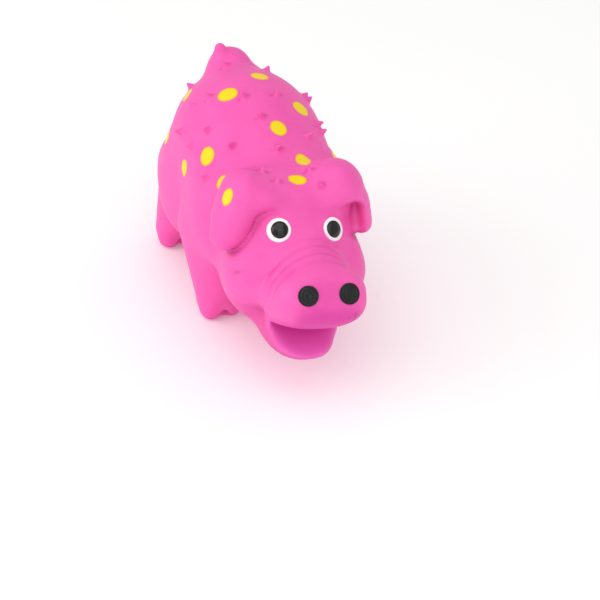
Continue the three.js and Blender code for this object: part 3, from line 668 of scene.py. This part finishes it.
def buildSkin():
    cell = grid["cell"]
    points, faces = surfaceNet(fieldOn(toyForm, grid["low"], grid["high"], cell), grid["low"], cell)
    places = settle(toyForm, np.array(spikePlaces, float), rounds=6)
    creasePlaces = settle(toyForm, np.array([crease[0] for crease in creases], float), rounds=6)
    points = settle(toyForm, points, rounds=2)
    points, faces = refine(points, faces, [*places, *creasePlaces], spike["finer"])
    rest = settle(toyForm, points, rounds=3)
    normals = normalsOf(toyForm, rest)
    points, shadeMark = raiseSpikes(rest, rest, normals, places)
    points, shadeMark = cutCreases(points, shadeMark, rest, normals, creasePlaces)
    skin = makeObject("latexSkin", points, faces)
    shadeSkin(skin, rest, normals, shadeMark)
    return skin


# A thin cap that follows the skin: rings round a place, each with its height over the skin, down to an
# underside that is sunk into it. The rings stand closer together towards the rim.
capShape = {"sunk": 0.5, "closer": 1.3, "rounds": 4, "leastSlope": 0.3}


def skinCap(name, place, radii, heightAt, rings=14, segments=48, facing=None):
    middle = settle(toyForm, np.array([place], float), rounds=6)[0]
    outward = normalsOf(toyForm, middle[None])[0] if facing is None else facing
    along = np.array([1.0, 0, 0]) - outward * outward[0]
    along /= np.linalg.norm(along)
    across = np.cross(outward, along)
    shares = 1 - (1 - np.linspace(0, 1, rings)) ** capShape["closer"]
    angle = np.arange(segments) / segments * 2 * math.pi
    top, under = [], []
    for share in shares:
        p = middle + np.outer(np.cos(angle) * radii[0] * share, along)
        p = p + np.outer(np.sin(angle) * radii[1] * share, across)
        for _ in range(capShape["rounds"]):
            slope = slopeOf(toyForm, p) @ outward
            p = p - (toyForm(p) / np.maximum(slope, capShape["leastSlope"]))[:, None] * outward
        top.append(p + outward * heightAt(share))
        under.insert(0, p - outward * capShape["sunk"])
    faces = []
    for ring in range(2 * rings - 1):
        for k in range(segments):
            here, beside = ring * segments + k, ring * segments + (k + 1) % segments
            faces.append([here, here + segments, beside + segments, beside])
    obj = makeObject(name, np.concatenate(top + under), faces)
    work = bmesh.new()
    work.from_mesh(obj.data)
    bmesh.ops.remove_doubles(work, verts=work.verts, dist=1e-6)
    work.to_mesh(obj.data)
    work.free()
    addAttribute(obj, "restPlace", np.array([v.co for v in obj.data.vertices]) * 1000 - frameShift)
    return obj


# Materials
def linearColour(text):
    parts = [int(text[i : i + 2], 16) / 255 for i in (1, 3, 5)]
    return (*(c / 12.92 if c <= 0.04045 else ((c + 0.055) / 1.055) ** 2.4 for c in parts), 1)


def addNode(tree, kind, inputs=None, **settings):
    node = tree.nodes.new(kind)
    for name, value in settings.items():
        setattr(node, name, value)
    for socket, value in (inputs or {}).items():
        if isinstance(value, bpy.types.NodeSocket):
            tree.links.new(value, node.inputs[socket])
        else:
            node.inputs[socket].default_value = value
    return node


# Nearly all of a noise's values lie between these, for a wide and for a soft change of colour or finish.
noiseSpan, softSpan = (0.35, 0.65), (0.3, 0.7)


def newMaterial(name, **values):
    material = bpy.data.materials.new(name)
    material.use_nodes = True
    shader = material.node_tree.nodes["Principled BSDF"]
    for socket, value in values.items():
        shader.inputs[socket.replace("_", " ")].default_value = value
    return material, material.node_tree, shader


# Dipped natural rubber latex, pigmented. The eye gets a satin pink that is a little cloudy over a
# centimetre or so. Painted shade deepens it in folds and creases, on the snout's front and on faces that
# face down;
# painted light makes the mouth's hollow paler and bluer; a painted highlight along with wear makes it paler
# over a ridge.
# Each pattern: size in mm, detail, roughness
latex = {
    "ior": 1.45,
    "clear": "#f457b0",
    "cloudy": "#fa5fb6",
    # The next four colours stand for light: painted shade under the snout and on faces that face down,
    # painted light in the mouth's hollow, painted shade in folds and creases, and a painted highlight, along
    # with wear, on ridges.
    "under": "#dd3aa2",
    "litLining": "#f060cc",
    "crease": "#c42a80",
    "ridgeWearAndHighlight": "#f877bd",
    "bloom": "#f88cc6",
    "cloud": (11, 3, 0.55),
    "speck": (1.4, 2, 0.5),
    "grain": (0.35, 2, 0.5),
    "swell": (3.2, 2, 0.5),
    "roughness": (0.44, 0.56),
    "foldFrom": 0.35,
    "foldTo": 0.95,
    "foldMost": 0.9,
}
# The spots are thick paint, orange and thin at an uneven rim and glossier than the latex.
spotPaint = {
    "rim": "#f0a020",
    "full": "#f8dc00",
    "rimWidth": 0.55,
    "edgeWidth": 0.1,
    "uneven": 0.5,
    "glossier": 0.08,
    "thickness": 0.08,
}


def skinMaterial():
    material, tree, shader = newMaterial("pigmentedLatex", IOR=latex["ior"])
    place = addNode(tree, "ShaderNodeAttribute", attribute_name="restPlace").outputs["Vector"]
    fold, ridgeWearAndHighlight, spot, shadeMark, under, litLining = (
        addNode(tree, "ShaderNodeAttribute", attribute_name=name).outputs["Fac"]
        for name in ("fold", "ridgeWearAndHighlight", "spotEdge", "shadeMark", "under", "litLining")
    )
    cloud, speck, grain, swell = (
        addNode(tree, "ShaderNodeTexNoise", {
            "Vector": place, "Scale": 1 / size, "Detail": detail, "Roughness": roughness,
        }).outputs["Fac"]
        for size, detail, roughness in (latex["cloud"], latex["speck"], latex["grain"], latex["swell"])
    )
    # Painted shade in folds, joined with the painted shade of creases and of the spikes' wrinkles and feet
    foldShade = addNode(tree, "ShaderNodeMapRange", {
        "Value": fold,
        "From Min": latex["foldFrom"],
        "From Max": latex["foldTo"],
        "To Max": latex["foldMost"],
    }).outputs[0]
    creaseShading = addNode(tree, "ShaderNodeMath", {
        0: foldShade, 1: shadeMark,
    }, operation="MAXIMUM", use_clamp=True).outputs[0]
    colour = linearColour(latex["clear"])
    # Each layer of colour: what it goes by, from where to where, how much of it there is at most
    for value, start, end, most, tint in (
        (cloud, *noiseSpan, 1.0, latex["cloudy"]),
        # Past the cloud, the next four layers are painted light: shade under the snout and on faces that
        # face down, light in the mouth's hollow, shade in folds and creases, and a highlight along with wear
        # on ridges
        (under, 0.0, 1.0, 0.9, latex["under"]),
        (litLining, 0.0, 1.0, 0.8, latex["litLining"]),
        (creaseShading, 0.0, 1.0, 1.0, latex["crease"]),
        (ridgeWearAndHighlight, 0.25, 0.9, 0.35, latex["ridgeWearAndHighlight"]),
        (speck, 0.6, 0.8, 0.12, latex["bloom"]),
    ):
        share = addNode(tree, "ShaderNodeMapRange", {
            "Value": value, "From Min": start, "From Max": end, "To Max": most,
        }).outputs[0]
        colour = addNode(tree, "ShaderNodeMix", {
            0: share, 6: colour, 7: linearColour(tint),
        }, data_type="RGBA").outputs[2]
    wobble = addNode(tree, "ShaderNodeMath", {
        0: speck, 1: spotPaint["uneven"], 2: -spotPaint["uneven"] / 2,
    }, operation="MULTIPLY_ADD").outputs[0]
    edge = addNode(tree, "ShaderNodeMath", {0: spot, 1: wobble}, operation="ADD").outputs[0]
    painted = addNode(tree, "ShaderNodeMapRange", {
        "Value": edge, "From Min": spotPaint["edgeWidth"], "From Max": -spotPaint["edgeWidth"],
    }).outputs[0]
    thick = addNode(tree, "ShaderNodeMapRange", {
        "Value": edge, "From Min": 0.0, "From Max": -spotPaint["rimWidth"],
    }).outputs[0]
    yellow = addNode(tree, "ShaderNodeMix", {
        0: thick, 6: linearColour(spotPaint["rim"]), 7: linearColour(spotPaint["full"]),
    }, data_type="RGBA").outputs[2]
    colour = addNode(tree, "ShaderNodeMix", {0: painted, 6: colour, 7: yellow}, data_type="RGBA").outputs[2]
    tree.links.new(colour, shader.inputs["Base Color"])
    smooth, rough = latex["roughness"]
    satin = addNode(tree, "ShaderNodeMapRange", {
        "Value": cloud, "From Min": softSpan[0], "From Max": softSpan[1], "To Min": smooth, "To Max": rough,
    }).outputs[0]
    finish = addNode(tree, "ShaderNodeMath", {
        0: painted, 1: -spotPaint["glossier"], 2: satin,
    }, operation="MULTIPLY_ADD").outputs[0]
    tree.links.new(finish, shader.inputs["Roughness"])
    # Relief: a shallow swell, the grain of the mould, and the thickness of the paint. Each: what it goes by,
    # strength, depth in mm
    normal = None
    reliefs = ((swell, 0.25, 0.25), (grain, 0.3, 0.04), (painted, 0.6, spotPaint["thickness"]))
    for height, strength, mm in reliefs:
        inputs = {"Height": height, "Strength": strength, "Distance": mm / 1000}
        if normal:
            inputs["Normal"] = normal
        normal = addNode(tree, "ShaderNodeBump", inputs).outputs[0]
    tree.links.new(normal, shader.inputs["Normal"])
    return material


# Each finish in one colour: low and high colour, roughness and its spread, size of the cloud and of the
# grain in mm, depth of the grain in mm, IOR
finishes = {
    # White enamel paint: clean and half glossy, so that the eye reads as hard
    "whiteEyePaint": ("#f4f1f2", "#ffffff", 0.32, 0.05, 2.2, 0.6, 0.03, 1.5),
    # Gloss black paint, poured as a dome: it mirrors the lights
    "glossBlackPaint": ("#050506", "#0b0b0d", 0.16, 0.03, 2.2, 0.8, 0.01, 1.5),
    # Black paint, brushed on: duller and grainy, so that its rings show
    "mattBlackPaint": ("#060707", "#101213", 0.38, 0.08, 2.2, 0.35, 0.1, 1.45),
    # Polyester fibre: a dull white wad; the real fibres are too fine to show, so the grain is coarser
    "polyesterFibre": ("#e9e9e6", "#fbfbf8", 0.85, 0.08, 2.2, 0.5, 0.3, 1.5),
    # Latex sheet of the patch: a shade duller than the dipped skin, as it was cut and glued
    "patchLatex": ("#ea54a9", "#f05cb0", 0.5, 0.06, 2.2, 0.5, 0.04, 1.5),
}


def finishMaterial(name):
    low, high, roughness, spread, cloudSize, grainSize, depth, ior = finishes[name]
    material, tree, shader = newMaterial(name, IOR=ior)
    place = addNode(tree, "ShaderNodeAttribute", attribute_name="restPlace").outputs["Vector"]
    cloud, grain = (
        addNode(tree, "ShaderNodeTexNoise", {
            "Vector": place, "Scale": 1 / size, "Detail": 3.0,
        }).outputs["Fac"]
        for size in (cloudSize, grainSize)
    )
    share = addNode(tree, "ShaderNodeMapRange", {
        "Value": cloud, "From Min": noiseSpan[0], "From Max": noiseSpan[1],
    }).outputs[0]
    colour = addNode(tree, "ShaderNodeMix", {
        0: share, 6: linearColour(low), 7: linearColour(high),
    }, data_type="RGBA").outputs[2]
    tree.links.new(colour, shader.inputs["Base Color"])
    finish = addNode(tree, "ShaderNodeMapRange", {
        "Value": grain,
        "From Min": softSpan[0],
        "From Max": softSpan[1],
        "To Min": roughness - spread,
        "To Max": roughness + spread,
    }).outputs[0]
    tree.links.new(finish, shader.inputs["Roughness"])
    relief = addNode(tree, "ShaderNodeBump", {
        "Height": grain, "Strength": 0.4, "Distance": depth / 1000,
    }).outputs[0]
    tree.links.new(relief, shader.inputs["Normal"])
    return material


skin = buildSkin()
print("skin", len(skin.data.vertices), "points", len(skin.data.polygons), "faces")
skin.data.materials.append(skinMaterial())
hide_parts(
    "body_skin", "head_skin", "snout", "lower_jaw", "ear_left", "ear_right",
    "leg_front_left", "leg_front_right", "leg_rear_left", "leg_rear_right", "tail",
)
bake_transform(skin)

# Nostrils: black paint, with the vent's pinhole in the middle of the right one
nostril = {
    "middle": 0.9,
    "place": {-1: (6.7, -51.8, 41.2), 1: (6.2, -52.0, 41.3)},
    "radii": {-1: (3.2, 3.1), 1: (3.42, 3.25)},
    "vent": {-1: 0.16, 1: 0},  # as a share of the radius
    "height": 0.2,
    "ring": 0.06,
    "ringTurn": 19,
    "floor": 0.02,
    "rim": -0.05,
}


# Heights over the skin at each share of a cap's radius
def whiteHeight(share):
    rim, dome = eye["whiteHeight"]
    return rim + dome * (1 - share**2) if share < 1 else eye["whiteRim"]


def pupilHeight(share):
    rim, dome = eye["pupilHeight"]
    return rim + dome * math.sqrt(max(0, 1 - share**2))


def nostrilHeight(share, vent):
    if share >= 1:
        return nostril["rim"]
    pit = math.exp(-((share / vent) ** 4)) if vent else 0
    brushed = nostril["height"] + nostril["ring"] * math.cos(nostril["ringTurn"] * share)
    return brushed * (1 - pit) + nostril["floor"]


def finishCap(cap, material, node):
    cap.data.materials.append(material)
    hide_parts(node)
    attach(cap, "toy")


whitePaint = finishMaterial("whiteEyePaint")
pupilPaint = finishMaterial("glossBlackPaint")
nostrilPaint = finishMaterial("mattBlackPaint")
for label, side in (("Left", 1), ("Right", -1)):
    flip = np.array([side, 1, 1])
    at = outOfHead(np.array(eye["place"][side]) * flip)[0]
    facing = eyeFacing * flip @ neckTurn.T
    white = skinCap("eyeWhite" + label, at, (eye["white"],) * 2, whiteHeight, facing=facing)
    finishCap(white, whitePaint, "eye_white_" + label.lower())
    inward = at - [side * eye["pupilInward"], 0, 0]
    pupil = skinCap("pupil" + label, inward, (eye["pupil"],) * 2, pupilHeight, facing=facing)
    finishCap(pupil, pupilPaint, "pupil_" + label.lower())
    at = outOfHead(np.array(nostril["place"][side]) * flip + [nostril["middle"], 0, 0])[0]
    heightAt = functools.partial(nostrilHeight, vent=nostril["vent"][side])
    disc = skinCap("nostril" + label, at, nostril["radii"][side], heightAt, rings=34)
    finishCap(disc, nostrilPaint, "nostril_" + label.lower())
print("eyes and nostrils made")

# Hidden inside: the fibre fill, with a pocket for the squeaker
filling = {
    "inset": 2.7,
    "cell": 2.0,
    "lump": 0.5,
    "lumpWaves": (1.1, 0.5, 0.9, 0.7),  # radians in a mm, along x and y, then y and z
    "pocket": 13.6,
    "clear": 0.4,
    "underBase": 1.8,
}
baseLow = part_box("squeaker_base")[0]


def fillForm(p):
    x, y, z = p.T
    across, swirl, along, upward = filling["lumpWaves"]
    lumps = np.sin(x * across + 2 * np.sin(y * swirl)) + np.sin(y * along + z * upward)
    d = toyForm(p) + filling["inset"] + filling["lump"] * (0.5 + 0.5 * lumps / 2)
    low = baseLow.z * 1000 - filling["underBase"] - filling["clear"]
    high = capHigh.z * 1000 + filling["clear"]
    wall = np.hypot(x - squeakerAxis[0], y - squeakerAxis[1]) - filling["pocket"]
    pocket = np.maximum(wall, np.maximum(low - z, z - high))
    return np.maximum(d, -pocket)


def makeFilling():
    cell = filling["cell"]
    field = fieldOn(fillForm, grid["low"], grid["high"], cell, stride=2)
    points, faces = surfaceNet(field, grid["low"], cell)
    fill = makeObject("fibreFill", settle(fillForm, points, rounds=2), faces)
    addAttribute(fill, "restPlace", points)
    fill.data.materials.append(finishMaterial("polyesterFibre"))
    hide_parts("stuffing")
    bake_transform(fill)


# The squeaker's bellows: a thin wall with rounded folds, sharper at their roots
bellows = {
    "outer": 13.0,
    "fold": 2.4,
    "wall": 0.9,
    "folds": 4,
    "crest": 0.28,
    "rowsInFold": 12,
    "segments": 72,
    "stroke": 8,
}


def makeBellows(material):
    low, high = (v.z * 1000 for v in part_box("squeaker_bellows"))
    rows = bellows["rowsInFold"] * bellows["folds"]
    share = np.arange(rows + 1) / rows
    wave = 0.5 + 0.5 * np.cos(share * bellows["folds"] * 2 * math.pi)
    crease = wave ** (1 + bellows["crest"])
    outer = bellows["outer"] - bellows["fold"] * (1 - crease)
    profile = list(zip(outer, low + (high - low) * share))
    profile += [(r - bellows["wall"], z) for r, z in reversed(profile)]
    count = bellows["segments"]
    angle = np.arange(count) / count * 2 * math.pi
    points, faces = [], []
    for ring, (r, z) in enumerate(profile):
        after = (ring + 1) % len(profile)
        for k, a in enumerate(angle):
            n = (k + 1) % count
            points.append((squeakerAxis[0] + r * math.cos(a), squeakerAxis[1] + r * math.sin(a), z))
            faces.append([ring * count + k, ring * count + n, after * count + n, after * count + k])
    obj = makeObject("squeakerBellows", points, faces)
    addAttribute(obj, "restPlace", points)
    obj.data.materials.append(material)
    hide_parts("squeaker_bellows")
    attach(obj, "toy")
    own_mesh(obj)


# The patch over the belly's opening: a disc of sheet, glued on, with a step near its edge
patch = {"height": 13, "radius": 12.5, "thickness": 0.7, "step": 0.45, "stepAt": 0.97, "rim": 0.02}


def patchHeight(share):
    if share < patch["stepAt"]:
        return patch["thickness"]
    return patch["step"] if share < 1 else patch["rim"]


def makePatch():
    down = np.array([0.0, 0, -1])
    place = (*squeakerAxis, patch["height"])
    radii = (patch["radius"],) * 2
    disc = skinCap("bellyPatch", place, radii, patchHeight, rings=40, segments=96, facing=down)
    finishCap(disc, finishMaterial("patchLatex"), "belly_patch")


# Plastics of the squeaker: low and high colour, roughness
plastics = {
    # Moulded polyethylene: milky, waxy and even
    "mouldedPolyethylene": ("#e4e7e8", "#f3f5f5", 0.42),
    # Polyester film of the reed: greyer and glossier than its holder
    "reedFilm": ("#cfd5d8", "#e0e4e6", 0.25),
}
plasticSizes = {"cloud": 6, "grain": 0.5, "depth": 0.03, "spread": 0.06}


# A CAD node has no rest place of its own, so these go by object coordinates, which are in metres.
def plasticMaterial(name):
    low, high, roughness = plastics[name]
    material, tree, shader = newMaterial(name, IOR=1.5)
    place = addNode(tree, "ShaderNodeTexCoord").outputs["Object"]
    cloud, grain = (
        addNode(tree, "ShaderNodeTexNoise", {
            "Vector": place, "Scale": 1000 / size, "Detail": 2.0,
        }).outputs["Fac"]
        for size in (plasticSizes["cloud"], plasticSizes["grain"])
    )
    colour = addNode(tree, "ShaderNodeMix", {
        0: cloud, 6: linearColour(low), 7: linearColour(high),
    }, data_type="RGBA").outputs[2]
    tree.links.new(colour, shader.inputs["Base Color"])
    spread = plasticSizes["spread"]
    finish = addNode(tree, "ShaderNodeMapRange", {
        "Value": grain, "To Min": roughness - spread, "To Max": roughness + spread,
    }).outputs[0]
    tree.links.new(finish, shader.inputs["Roughness"])
    relief = addNode(tree, "ShaderNodeBump", {
        "Height": grain, "Strength": 0.3, "Distance": plasticSizes["depth"] / 1000,
    }).outputs[0]
    tree.links.new(relief, shader.inputs["Normal"])
    return material


makeFilling()
squeakerPlastic = plasticMaterial("mouldedPolyethylene")
makeBellows(squeakerPlastic)
for node in ("squeaker_base", "squeaker_cap", "reed_holder", "reed_clip"):
    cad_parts[node].material_slots[0].material = squeakerPlastic
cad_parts["reed"].material_slots[0].material = plasticMaterial("reedFilm")
makePatch()
print("filling, squeaker and patch made")


# Floor and light. Each light: place, size, power
stage = {
    "floor": "#fbfbfa",
    "floorHalf": 3,
    "floorGlow": 0.12,
    "world": 0.65,
    "lights": {
        "overhead": ((-0.2, -0.3, 0.9), 1.0, 2.8),
        "side": ((-0.85, 0.1, 0.45), 0.7, 2.35),
        "front": ((-0.2, -0.9, 0.45), 0.7, 0.8),
    },
    "aim": (0, 0, 0.03),
}


def makeStage():
    half = stage["floorHalf"]
    mesh = bpy.data.meshes.new("floor")
    corners = [(-half, -half, 0), (half, -half, 0), (half, half, 0), (-half, half, 0)]
    mesh.from_pydata(corners, [], [(0, 1, 2, 3)])
    floor = bpy.data.objects.new("floor", mesh)
    bpy.context.scene.collection.objects.link(floor)
    # Matt white board, lit a little from within so that it stays as pale as the photograph's ground
    material, tree, shader = newMaterial("paleFloor", Roughness=0.7)
    shader.inputs["Base Color"].default_value = linearColour(stage["floor"])
    shader.inputs["Emission Color"].default_value = (1, 1, 1, 1)
    shader.inputs["Emission Strength"].default_value = stage["floorGlow"]
    mesh.materials.append(material)
    world = bpy.data.worlds.new("studio")
    world.use_nodes = True
    background = world.node_tree.nodes["Background"]
    background.inputs["Color"].default_value = (1, 1, 1, 1)
    background.inputs["Strength"].default_value = stage["world"]
    bpy.context.scene.world = world
    for name, (place, size, power) in stage["lights"].items():
        light = bpy.data.lights.new(name, "AREA")
        light.size = size
        light.energy = power
        lamp = bpy.data.objects.new(name, light)
        bpy.context.scene.collection.objects.link(lamp)
        lamp.location = place
        lamp.rotation_euler = (Vector(stage["aim"]) - Vector(place)).to_track_quat("-Z", "Y").to_euler()


makeStage()
bpy.context.scene.view_settings.view_transform = "Standard"
print("stage made")
